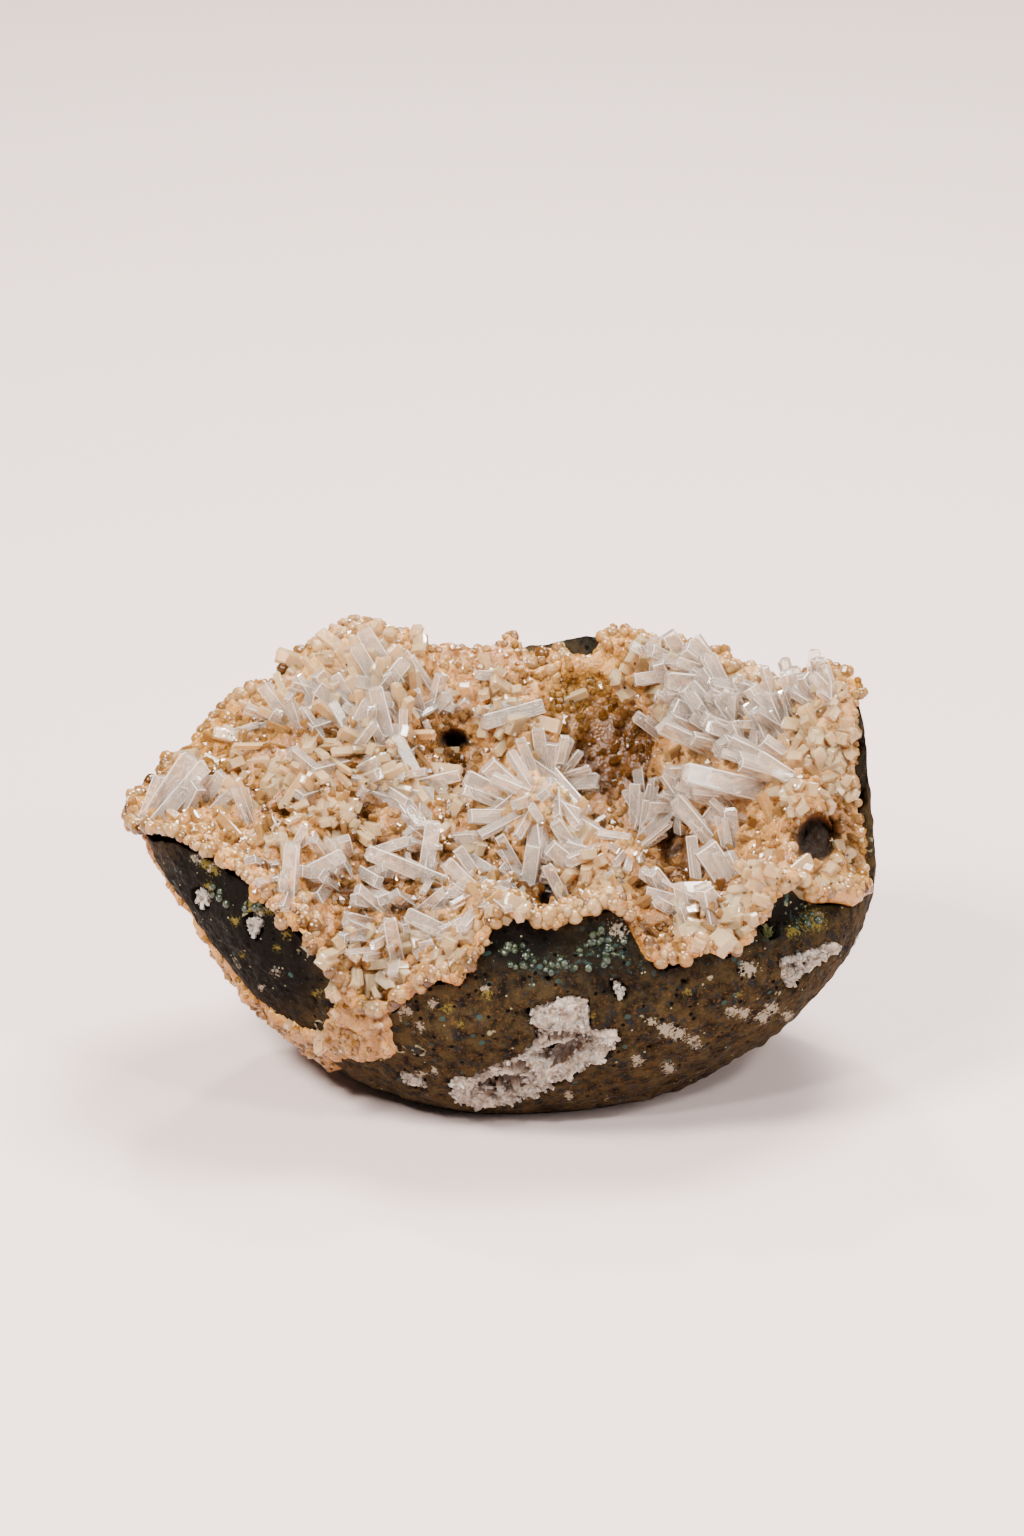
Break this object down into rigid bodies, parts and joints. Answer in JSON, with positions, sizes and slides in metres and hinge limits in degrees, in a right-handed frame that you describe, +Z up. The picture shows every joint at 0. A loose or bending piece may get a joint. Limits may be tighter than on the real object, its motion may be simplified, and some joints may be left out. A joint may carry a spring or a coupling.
{
  "type": "mineral specimen, heulandite with calcite on basalt",
  "caption": "Basalt stone with a hollow on top, lined by a peach heulandite crust and clear calcite blades.",
  "frame": {"origin": "middle of the bounding box's foot: the stone rests on Z = 0", "axes": "+X to the right of the picture, along the stone's length, +Y to its back, +Z up"},
  "size_m": [0.0999, 0.0703, 0.055],
  "materials": {
    "basalt": "matte, fine grained",
    "heulandite": "sugary crystal crust, peach to cream, with glassy blades",
    "quartz": "fine white crystal",
    "celadonite": "dull, earthy"
  },
  "bodies": {
    "root": {"basalt_matrix": "basalt", "crystal_crust": "heulandite", "front_vug_lining": "quartz", "right_vug_lining": "quartz", "edge_vug_lining": "quartz", "left_vug_lining": "quartz", "shoulder_vug_lining": "quartz", "low_vug_lining": "quartz", "green_filling": "celadonite", "top_patch_lining": "quartz"}
  },
  "joints": []
}
